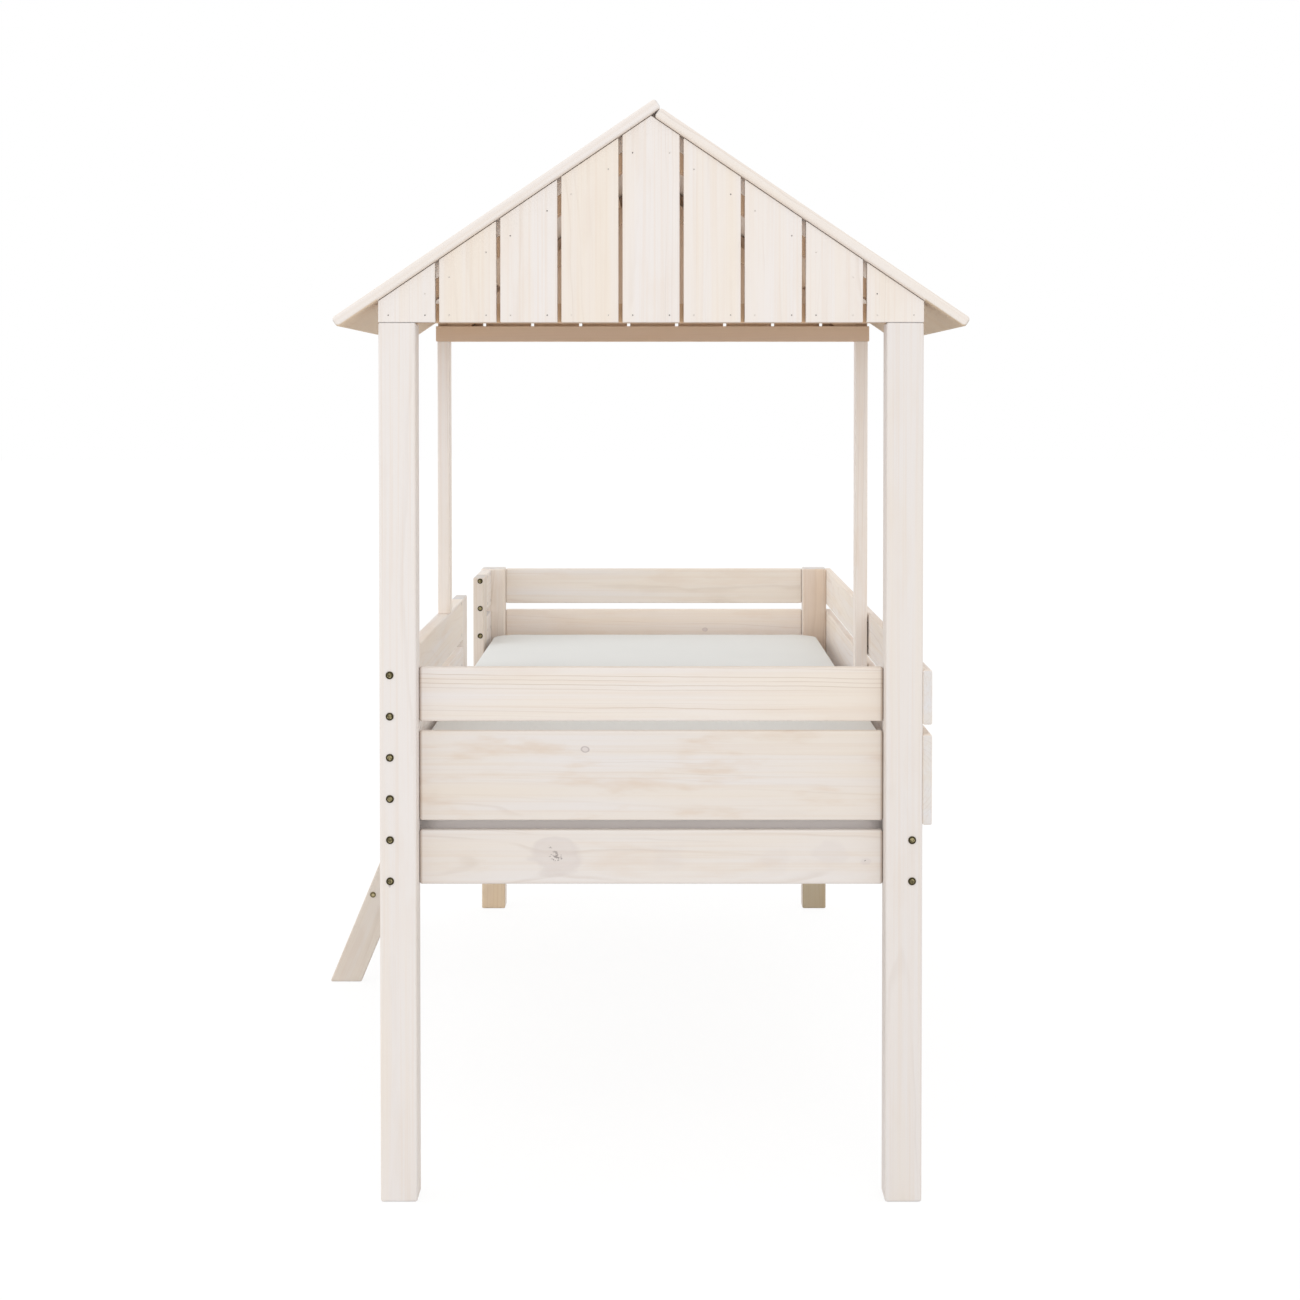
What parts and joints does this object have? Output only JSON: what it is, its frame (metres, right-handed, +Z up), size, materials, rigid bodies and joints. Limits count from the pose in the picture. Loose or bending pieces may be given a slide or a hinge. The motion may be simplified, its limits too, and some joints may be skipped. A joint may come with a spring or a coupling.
{
  "type": "house-roofed single bed",
  "caption": "Raised single bed for a child with guard boards all round, a half-length gabled roof on posts, a leaning ladder at the side opening and a mattress on slats.",
  "frame": {"origin": "on the floor, under the middle of the whole object's box", "axes": "+Z up; +Y along the bed from the roofed front end to the open rear end; -X towards the ladder"},
  "size_m": [1.3636, 2.1356, 1.9744],
  "materials": {
    "whitewashed_pine": "satin",
    "inner_wood": "matte",
    "slat_wood": "matte",
    "dowel_beech": "matte",
    "mattress_fabric": "matte",
    "bolt_metal": "satin",
    "nut_metal": "satin",
    "nail_metal": "matte",
    "screw_metal": "satin"
  },
  "bodies": {
    "bed_frame": {"barrel_nuts": "nut_metal", "bed_slats": "slat_wood", "frame_bolts": "bolt_metal", "front_end_lower_board": "whitewashed_pine", "front_end_middle_board": "whitewashed_pine", "front_end_upper_board": "whitewashed_pine", "front_gable_board_1": "whitewashed_pine", "front_gable_board_2": "whitewashed_pine", "front_gable_board_3": "whitewashed_pine", "front_gable_board_4": "whitewashed_pine", "front_gable_board_5": "whitewashed_pine", "front_gable_board_6": "whitewashed_pine", "front_gable_board_7": "whitewashed_pine", "front_gable_board_8": "whitewashed_pine", "front_gable_board_9": "whitewashed_pine", "front_post_left": "whitewashed_pine", "front_post_right": "whitewashed_pine", "front_rafter_left": "inner_wood", "front_rafter_right": "inner_wood", "front_roof_beam": "whitewashed_pine", "gable_nails": "nail_metal", "guard_middle_board": "whitewashed_pine", "guard_stile": "whitewashed_pine", "guard_upper_board": "whitewashed_pine", "joint_dowels": "dowel_beech", "ladder_bolts": "bolt_metal", "ladder_stile_front": "whitewashed_pine", "ladder_stile_rear": "whitewashed_pine", "ladder_tread_1": "whitewashed_pine", "ladder_tread_2": "whitewashed_pine", "left_side_rail": "whitewashed_pine", "rear_end_lower_board": "whitewashed_pine", "rear_end_middle_board": "whitewashed_pine", "rear_end_upper_board": "whitewashed_pine", "rear_gable_boards": "whitewashed_pine", "rear_guard_middle_board": "whitewashed_pine", "rear_guard_stile": "whitewashed_pine", "rear_guard_upper_board": "whitewashed_pine", "rear_leg_left": "whitewashed_pine", "rear_leg_right": "whitewashed_pine", "rear_rafter_left": "inner_wood", "rear_rafter_right": "inner_wood", "rear_roof_beam": "whitewashed_pine", "right_side_middle_board": "whitewashed_pine", "right_side_rail": "whitewashed_pine", "right_side_upper_board": "whitewashed_pine", "roof_batten_lower_left": "inner_wood", "roof_batten_lower_right": "inner_wood", "roof_batten_upper_left": "inner_wood", "roof_batten_upper_right": "inner_wood", "roof_panel_left": "whitewashed_pine", "roof_panel_right": "whitewashed_pine", "roof_post_left": "whitewashed_pine", "roof_post_right": "whitewashed_pine", "slat_ledger_left": "inner_wood", "slat_ledger_right": "inner_wood", "wood_screws": "screw_metal"},
    "mattress": {"mattress": "mattress_fabric"}
  },
  "joints": [
    {"name": "mattress_lift", "type": "slide", "parent": "bed_frame", "child": "mattress", "axis": [0, 0, 1], "range_m": [0, 0.32]}
  ]
}
